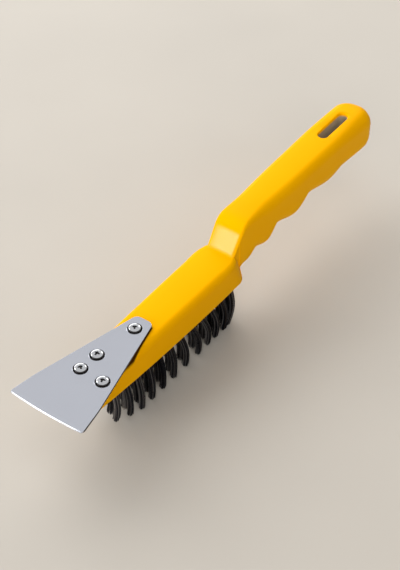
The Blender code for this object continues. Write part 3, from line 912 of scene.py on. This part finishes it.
def piece_axes(tree):
    """X, distance from the middle plane and Z of the point that is shaded."""
    axes = add_node(tree, "ShaderNodeSeparateXYZ", {0: object_place(tree)}).outputs
    across = add_node(tree, "ShaderNodeMath", {0: axes["Y"]}, operation="ABSOLUTE")
    return axes["X"], across.outputs[0], axes["Z"]


def colour_mix(tree, factor, first, second):
    """Mix of two colours by a socket. Each colour is a socket or a plain colour."""
    node = add_node(tree, "ShaderNodeMix", data_type="RGBA")
    tree.links.new(factor, node.inputs["Factor"])
    for index, value in ((6, first), (7, second)):
        if isinstance(value, bpy.types.NodeSocket):
            tree.links.new(value, node.inputs[index])
        else:
            node.inputs[index].default_value = (*value[:3], 1)
    return node.outputs[2]


# Finishes

def slot_shade_mask(tree):
    """Painted shade: 1 deep inside the hang slot, fading to 0 at its top rim."""
    along, across, height = piece_axes(tree)
    first, last = place(SLOT_END - SLOT_LENGTH), place(SLOT_END)
    top = top_height(SLOT_END - SLOT_LENGTH / 2)
    return combined(
        tree, "MULTIPLY",
        fall(tree, across, SLOT_WIDTH / 2 + 0.0002, SLOT_WIDTH / 2 + 0.0008),
        fall(tree, height, top - 0.0026, top - 0.0009),
        band(tree, along, first - 0.001, first),
        fall(tree, along, last, last + 0.001))


def neck_mask(tree):
    """1 on the neck's steep face, which thumbs have polished."""
    along, across, _ = piece_axes(tree)
    foot, slope_end = place(NECK_FOOT), place(NECK_FOOT + NECK_SLOPE_LENGTH)
    return combined(
        tree, "MULTIPLY",
        band(tree, along, foot - 0.0006, foot + 0.0004),
        fall(tree, along, slope_end - 0.0010, slope_end + 0.0008),
        fall(tree, across, NECK_WIDTH / 2 - 0.0012, NECK_WIDTH / 2 - 0.0002))


def blade_shadow_mask(tree):
    """1 along the plastic just outside the blade's sides, where the blade's shadow is painted, fading away from the
    steel.
    """
    along, across, height = piece_axes(tree)
    tail = place(BLADE_LENGTH)
    slant = (BLADE_LIP_WIDTH - BLADE_TAIL_WIDTH) / 2 / (BLADE_LENGTH - BLADE_LIP_LENGTH)
    side = add_node(tree, "ShaderNodeMath", {0: along}, operation="MULTIPLY_ADD")
    side.inputs[1].default_value = slant
    side.inputs[2].default_value = -BLADE_TAIL_WIDTH / 2 - slant * tail
    return combined(
        tree, "MULTIPLY",
        fall(tree, combined(tree, "ADD", across, side.outputs[0]), 0.0002, 0.0008),
        fall(tree, along, tail - 0.0022, tail - 0.0004),
        band(tree, height, BLOCK_TOP - 0.0040, BLOCK_TOP - 0.0020))


def plastic_finish(settings):
    material, tree, shader = new_material("yellow plastic", 0.0, settings.roughness)
    shader.inputs["Coat Roughness"].default_value = settings.polish_roughness
    tree.links.new(neck_mask(tree), shader.inputs["Coat Weight"])
    shader.inputs["Specular IOR Level"].default_value = settings.gloss
    shader.inputs["Specular Tint"].default_value = (*settings.gloss_tint, 1)
    base = colour_mix(tree, handling_marks(tree, 28.0), settings.colour, settings.shade_colour)
    # Painted shadow of the blade on the plastic along its sides.
    base = colour_mix(tree, blade_shadow_mask(tree), base, settings.blade_shadow_colour)
    # Painted shade deep inside the hang slot.
    tree.links.new(colour_mix(tree, slot_shade_mask(tree), base, settings.slot_shade_colour), shader.inputs["Base Color"])
    vary_roughness(tree, shader, 90.0, settings.roughness, 0.03, 0.04)
    grain_in(tree, shader, 1400.0, settings.grain, 0.00006)
    return material


def dulled_and_shaded(tree, shader, grain, colour, shade, dull_and_shade_colour):
    """Colours a metal: darker along its grain, and dull with painted shade on the faces that are marked so."""
    metal = colour_mix(tree, grain, colour, [channel * shade for channel in colour])
    dull_and_shade = add_node(tree, "ShaderNodeAttribute", attribute_name="dull_and_shade")
    tree.links.new(colour_mix(tree, dull_and_shade.outputs["Fac"], metal, dull_and_shade_colour), shader.inputs["Base Color"])


def steel_finish(settings):
    material, tree, shader = new_material("blade steel", 1.0, settings.roughness)
    grain = grain_in(tree, shader, 300.0, settings.grain, 0.00002, stretch=(0.35, 6.0, 1.0))
    dulled_and_shaded(tree, shader, grain, settings.colour, 0.95, settings.edge_and_shade_colour)
    vary_roughness(tree, shader, 45.0, settings.roughness, 0.015, 0.02)
    return material


def screw_finish(settings):
    material, tree, shader = new_material("zinc screw", 1.0, settings.roughness)
    grain = grain_in(tree, shader, 2200.0, 0.08, 0.00003)
    dulled_and_shaded(tree, shader, grain, settings.colour, 0.86, settings.dirt_and_shade_colour)
    vary_roughness(tree, shader, 500.0, settings.roughness, 0.04, 0.08)
    return material


def wire_finish(settings):
    material, tree, shader = new_material("tuft wire", settings.metallic, settings.roughness)
    tone = add_node(tree, "ShaderNodeAttribute", attribute_name="wire_tone").outputs["Fac"]
    base = colour_mix(tree, band(tree, tone, 0.62, 1.0), settings.colour, settings.bright_colour)
    base = colour_mix(tree, fall(tree, tone, 0.0, 0.22), base, settings.warm_colour)
    tree.links.new(base, shader.inputs["Base Color"])
    vary_roughness(tree, shader, 400.0, settings.roughness, 0.08, 0.12)
    return material


def floor_finish(settings):
    material, tree, shader = new_material("floor", 0.0, 0.65)
    shader.inputs["Specular IOR Level"].default_value = 0.25
    darker = [channel * 0.96 for channel in settings.floor_colour]
    base = colour_mix(tree, handling_marks(tree, 9.0), settings.floor_colour, darker)
    tree.links.new(base, shader.inputs["Base Color"])
    grain_in(tree, shader, 260.0, 0.06, 0.0003)
    return material


# Stage

CAMERA_HEADING = 54.03
CAMERA_ELEVATION = 42.85
CAMERA_SHIFT = (-0.07281, -0.05957)
CAMERA_DISTANCE = 0.6034
CAMERA_LENS = 81.07
FLOOR_SIZE = 8

# Azimuth, elevation, spread and brightness of each soft patch of light in the room.
# Azimuth runs from +X towards +Y. A patch is full within ROOM_CORE of its middle and gone at its spread.
ROOM_LIGHTS = (
    (45, 30, 35, 2.0),
    (85, 45, 35, 2.5),
    (130, 8, 30, 2.6),
    (-145, 25, 30, 3.3),
    (-150, 78, 30, 1.5),
)
ROOM_CORE = 5
ROOM_TINT = (1.04, 1.0, 0.97)

# Azimuth, elevation, width, height and brightness of each lamp, a soft box that faces the brush.
LAMPS = (
    (153, 14, 0.26, 0.40, 4.0),
    (62, 14, 0.90, 0.36, 1.7),
    (106, 34, 0.30, 0.26, 3.0),
    (12, 32, 0.24, 0.24, 3.2),
)
LAMP_DISTANCE = 0.9


def add_camera():
    """Camera where the photograph was taken from, with the blade's front corners as its reference."""
    heading, elevation = math.radians(CAMERA_HEADING), math.radians(CAMERA_ELEVATION)
    right = Vector((math.cos(heading), -math.sin(heading), 0))
    level = Vector((math.sin(heading), math.cos(heading), 0))
    ahead = level * math.cos(elevation) - Vector((0, 0, math.sin(elevation)))
    up = level * math.sin(elevation) + Vector((0, 0, math.cos(elevation)))
    centre = -(CAMERA_SHIFT[0] * right + CAMERA_SHIFT[1] * up + CAMERA_DISTANCE * ahead)
    centre += Vector((place(0), 0, BLADE_TOP))
    deselect_all()
    bpy.ops.object.camera_add()
    camera = bpy.context.object
    camera.name = "photo_camera"
    camera.matrix_world = Matrix((
        (right.x, up.x, -ahead.x, centre.x),
        (right.y, up.y, -ahead.y, centre.y),
        (right.z, up.z, -ahead.z, centre.z),
        (0, 0, 0, 1)))
    camera.data.lens = CAMERA_LENS
    camera.data.sensor_width = 36
    camera.data.clip_start = 0.01
    bpy.context.scene.camera = camera


def pointing(azimuth, elevation):
    """Direction of length 1."""
    level = math.cos(math.radians(elevation))
    return Vector((level * math.cos(math.radians(azimuth)), level * math.sin(math.radians(azimuth)),
                   math.sin(math.radians(elevation))))


def add_lobe(tree, total, where, direction, spread, colour):
    """Adds a soft round patch of light to the room, which fades out towards its spread."""
    aim = add_node(tree, "ShaderNodeVectorMath", {0: where}, operation="DOT_PRODUCT")
    aim.inputs[1].default_value = direction.normalized()
    inner, outer = (math.cos(math.radians(angle)) for angle in (ROOM_CORE, spread))
    patch = colour_mix(tree, band(tree, aim.outputs["Value"], outer, inner), (0, 0, 0), colour)
    return combined(tree, "ADD", total, patch, kind="ShaderNodeVectorMath")


def add_lamps(settings):
    """Soft boxes round the brush, which its polished steel and the neck mirror."""
    for azimuth, elevation, width, height, brightness in LAMPS:
        direction = pointing(azimuth, elevation)
        deselect_all()
        bpy.ops.object.light_add(type="AREA", location=direction * LAMP_DISTANCE)
        lamp = bpy.context.object
        lamp.name = f"soft_box_{azimuth}"
        lamp.rotation_euler = direction.to_track_quat("Z", "Y").to_euler()
        lamp.data.shape = "RECTANGLE"
        lamp.data.size = width
        lamp.data.size_y = height
        lamp.data.energy = settings.lamp_strength * brightness * math.pi * width * height
        lamp.visible_camera = False


def add_world(settings):
    """Room of soft light patches for the matt surfaces, and one plain pale backdrop for the view and the steel."""
    world = bpy.data.worlds.new("studio")
    bpy.context.scene.world = world
    world.use_nodes = True
    tree = world.node_tree
    where = tree.nodes.new("ShaderNodeTexCoord").outputs["Generated"]
    total = tree.nodes.new("ShaderNodeRGB").outputs[0]
    total.default_value = (*settings.room_colour, 1)
    for azimuth, elevation, spread, brightness in ROOM_LIGHTS:
        colour = [channel * brightness * settings.room_strength for channel in ROOM_TINT]
        total = add_lobe(tree, total, where, pointing(azimuth, elevation), spread, colour)
    background = tree.nodes["Background"]
    tree.links.new(total, background.inputs["Color"])
    plain = add_node(tree, "ShaderNodeBackground", Strength=1.0, Color=(*settings.backdrop_colour, 1))
    rays = tree.nodes.new("ShaderNodeLightPath").outputs
    shown = combined(tree, "MAXIMUM", rays["Is Camera Ray"], rays["Is Glossy Ray"], rays["Is Transmission Ray"])
    mixer = add_node(tree, "ShaderNodeMixShader", {"Fac": shown, 1: background.outputs[0], 2: plain.outputs[0]})
    tree.links.new(mixer.outputs[0], tree.nodes["World Output"].inputs["Surface"])


def build_stage(settings):
    deselect_all()
    bpy.ops.mesh.primitive_plane_add(size=FLOOR_SIZE)
    floor = finished(bpy.context.object, "floor")
    floor.data.materials.append(floor_finish(settings))
    add_world(settings)
    add_lamps(settings)
    add_camera()
    bpy.context.scene.view_settings.view_transform = "Standard"


# Settings

def colour_property(name, description, default):
    return bpy.props.FloatVectorProperty(name=name, description=description, default=default, subtype="COLOR",
                                         size=3, min=0, max=1)


def number_property(name, description, default, **limits):
    return bpy.props.FloatProperty(name=name, description=description, default=default, **limits)


def factor_property(name, description, default, highest=1):
    return number_property(name, description, default, min=0, max=highest, subtype="FACTOR")


def length_property(name, description, default, **limits):
    return number_property(name, description, default, unit="LENGTH", **limits)


class BodySettings(bpy.types.PropertyGroup):
    """Colours and surface of the moulded body"""

    colour: colour_property("Colour", "Colour of the moulded plastic", (1.0, 0.485, 0.0))
    shade_colour: colour_property("Shade", "Colour in the slightly deeper patches", (0.99, 0.465, 0.0))
    # Colour of the painted shade deep inside the hang slot.
    slot_shade_colour: colour_property("Slot dirt", "Colour of the dust inside the hang slot", (0.44, 0.40, 0.32))
    # Colour of the painted shadow along the blade's sides.
    blade_shadow_colour: colour_property("Grime", "Colour of the dirt along the blade's sides", (0.06, 0.02, 0.002))
    gloss: factor_property("Gloss", "Strength of the plastic's reflections", 0.012)
    gloss_tint: colour_property("Gloss tint", "Colour of the plastic's reflections", (1.0, 0.85, 0.25))
    polish_roughness: factor_property("Polish", "Roughness of the polished neck face", 0.14)
    roughness: factor_property("Roughness", "Roughness of the plastic", 0.36)
    grain: factor_property("Grain", "Depth of the moulded grain", 0.12)


class BladeSettings(bpy.types.PropertyGroup):
    """Sizes and surface of the scraper blade"""

    colour: colour_property("Colour", "Colour of the blade's steel", (0.55, 0.57, 0.635))
    roughness: factor_property("Roughness", "Roughness of the steel", 0.24)
    grain: factor_property("Grain", "Depth of the ground grain", 0.06)
    # Dull sheared steel with painted shade on the edges, and painted shade in the gaps round the screws.
    edge_and_shade_colour: colour_property("Cut edge", "Colour of the sheared edges and the gaps round the screws",
                                 (0.030, 0.020, 0.014))
    grind_length: length_property("Ground edge", "Width of the ground cutting edge", 0.00045, min=0)
    edge_land: length_property("Edge rise", "Height of the edge above the blade's underside", 0.00055, min=0)
    edge_round: length_property("Edge round", "Rounding of the blade's edges", 0.00036, min=0)
    dent_sink: length_property("Dent", "Drop of the sheet round each pressed dimple", 0.00016, min=0)


class ScrewSettings(bpy.types.PropertyGroup):
    """Surface of the screws"""

    colour: colour_property("Colour", "Colour of the zinc plating", (0.62, 0.63, 0.66))
    # Colour of the dirt and painted shade in the recess and round the rim.
    dirt_and_shade_colour: colour_property("Dirt", "Colour of the dirt in the recess and round the rim", (0.07, 0.065, 0.065))
    roughness: factor_property("Roughness", "Roughness of the plating", 0.09)


class TuftSettings(bpy.types.PropertyGroup):
    """Sizes and colours of the wire tufts"""

    colour: colour_property("Colour", "Colour of most wires", (0.007, 0.008, 0.014))
    bright_colour: colour_property("Bright wire", "Colour of the barest wires", (0.22, 0.215, 0.22))
    warm_colour: colour_property("Warm wire", "Colour of the wires with a brown tinge", (0.022, 0.016, 0.013))
    metallic: factor_property("Metallic", "How metallic the wires are", 0.9)
    roughness: factor_property("Roughness", "Roughness of the wires", 0.34)
    wire_rings: bpy.props.IntProperty(name="Rings", description="Rings of wires round each tuft's middle wire",
                                      default=4, min=1, max=5)
    wire_diameter: length_property("Wire", "Diameter of a wire", 0.00042, min=0)
    wire_spacing: length_property("Spacing", "Distance between wires at the root", 0.00039, min=0)
    tip_splay: number_property("Splay", "How much wider an outer bundle is at its tip", 1.05, min=1)
    inner_splay: number_property("Inner splay", "How much wider an inner bundle is at its tip", 1.60, min=1)
    tip_dome: length_property("Dome", "How much shorter the outer wires are", 0.0015, min=0)
    front_bow: length_property("Bow, front", "Sideways bow of the tufts near the blade", 0.0006)
    rear_bow: length_property("Bow, rear", "Sideways bow of the tufts near the grip", 0.0022)
    side_bow: length_property("Bow, sideways", "Outward bow of the tufts across the brush", 0.0009)
    inner_tone: factor_property("Inner tone", "How much barer the inner rows' wires are", 0.55, 0.9)
    tip_stray: length_property("Stray", "How far wire tips stray", 0.00012, min=0)
    length_spread: length_property("Length spread", "Uneven length of the wires", 0.00025, min=0)
    seed: bpy.props.IntProperty(name="Seed", description="Seed of the tufts' small differences", default=11)


class StageSettings(bpy.types.PropertyGroup):
    """Floor, light and background"""

    floor_colour: colour_property("Floor", "Colour of the floor", (0.56, 0.535, 0.485))
    backdrop_colour: colour_property("Backdrop", "Colour beyond the floor", (0.80, 0.80, 0.79))
    room_colour: colour_property("Room", "Light from all round the room", (0.004, 0.004, 0.004))
    room_strength: number_property("Room strength", "Strength of the room's soft patches", 1.07, min=0)
    lamp_strength: number_property("Lamp strength", "Strength of the soft boxes", 1.0, min=0)


# Operators

class BRUSH_OT_body(bpy.types.Operator):
    """Build the moulded body with its hang slot and tuft holes"""

    bl_idname = "brush.body"
    bl_label = "Moulded Body"

    def execute(self, context):
        dressed(build_body(), plastic_finish(context.scene.brush_body), "yellow_plastic", "handle_body")
        return {"FINISHED"}


class BRUSH_OT_blade(bpy.types.Operator):
    """Build the scraper blade with its ground edge and pressed dimples"""

    bl_idname = "brush.blade"
    bl_label = "Scraper Blade"

    def execute(self, context):
        settings = context.scene.brush_blade
        dressed(build_blade(settings), steel_finish(settings), "blade_steel", "scraper_blade")
        return {"FINISHED"}


class BRUSH_OT_screws(bpy.types.Operator):
    """Build the pan-head screws that hold the blade"""

    bl_idname = "brush.screws"
    bl_label = "Blade Screws"

    def execute(self, context):
        finish = screw_finish(context.scene.brush_screws)
        for turn, name in zip(SCREW_TURNS, SCREW_NODES):
            dressed(build_screw(name, turn), finish, "screw_steel", name)
        return {"FINISHED"}


class BRUSH_OT_tufts(bpy.types.Operator):
    """Build the wire tufts, each a packed bundle of wires in its own hole"""

    bl_idname = "brush.tufts"
    bl_label = "Wire Tufts"

    def execute(self, context):
        settings = context.scene.brush_tufts
        finish = wire_finish(settings)
        dice = random.Random(settings.seed)
        wire = build_wire()
        for name, root in tuft_roots().items():
            dressed(build_tuft(name, root, wire, settings, dice), finish, "tuft_wire", name)
        bpy.data.objects.remove(wire, do_unlink=True)
        return {"FINISHED"}


class BRUSH_OT_stage(bpy.types.Operator):
    """Set out the floor, the lamps, the room and the camera"""

    bl_idname = "brush.stage"
    bl_label = "Stage"

    def execute(self, context):
        build_stage(context.scene.brush_stage)
        return {"FINISHED"}


class BRUSH_PT_sidebar(bpy.types.Panel):
    """Pieces of the wire brush with their settings"""

    bl_label = "Wire Brush"
    bl_idname = "BRUSH_PT_sidebar"
    bl_space_type = "VIEW_3D"
    bl_region_type = "UI"
    bl_category = "Wire Brush"

    def draw(self, context):
        for operator, holder in PIECES:
            box = self.layout.box()
            box.operator(operator.bl_idname)
            settings = getattr(context.scene, holder)
            for name in settings.bl_rna.properties.keys():
                if name not in ("rna_type", "name"):
                    box.prop(settings, name)


SETTINGS = {
    "brush_body": BodySettings,
    "brush_blade": BladeSettings,
    "brush_screws": ScrewSettings,
    "brush_tufts": TuftSettings,
    "brush_stage": StageSettings,
}
PIECES = (
    (BRUSH_OT_stage, "brush_stage"),
    (BRUSH_OT_body, "brush_body"),
    (BRUSH_OT_blade, "brush_blade"),
    (BRUSH_OT_screws, "brush_screws"),
    (BRUSH_OT_tufts, "brush_tufts"),
)
CLASSES = [*SETTINGS.values(), *[operator for operator, _ in PIECES], BRUSH_PT_sidebar]


def register():
    for cls in CLASSES:
        bpy.utils.register_class(cls)
    for holder, settings in SETTINGS.items():
        setattr(bpy.types.Scene, holder, bpy.props.PointerProperty(type=settings))


def unregister():
    for holder in SETTINGS:
        delattr(bpy.types.Scene, holder)
    for cls in reversed(CLASSES):
        bpy.utils.unregister_class(cls)


def main():
    register()
    bpy.ops.brush.stage()
    bpy.ops.brush.body()
    bpy.ops.brush.blade()
    bpy.ops.brush.screws()
    bpy.ops.brush.tufts()


if __name__ == "__main__":
    main()
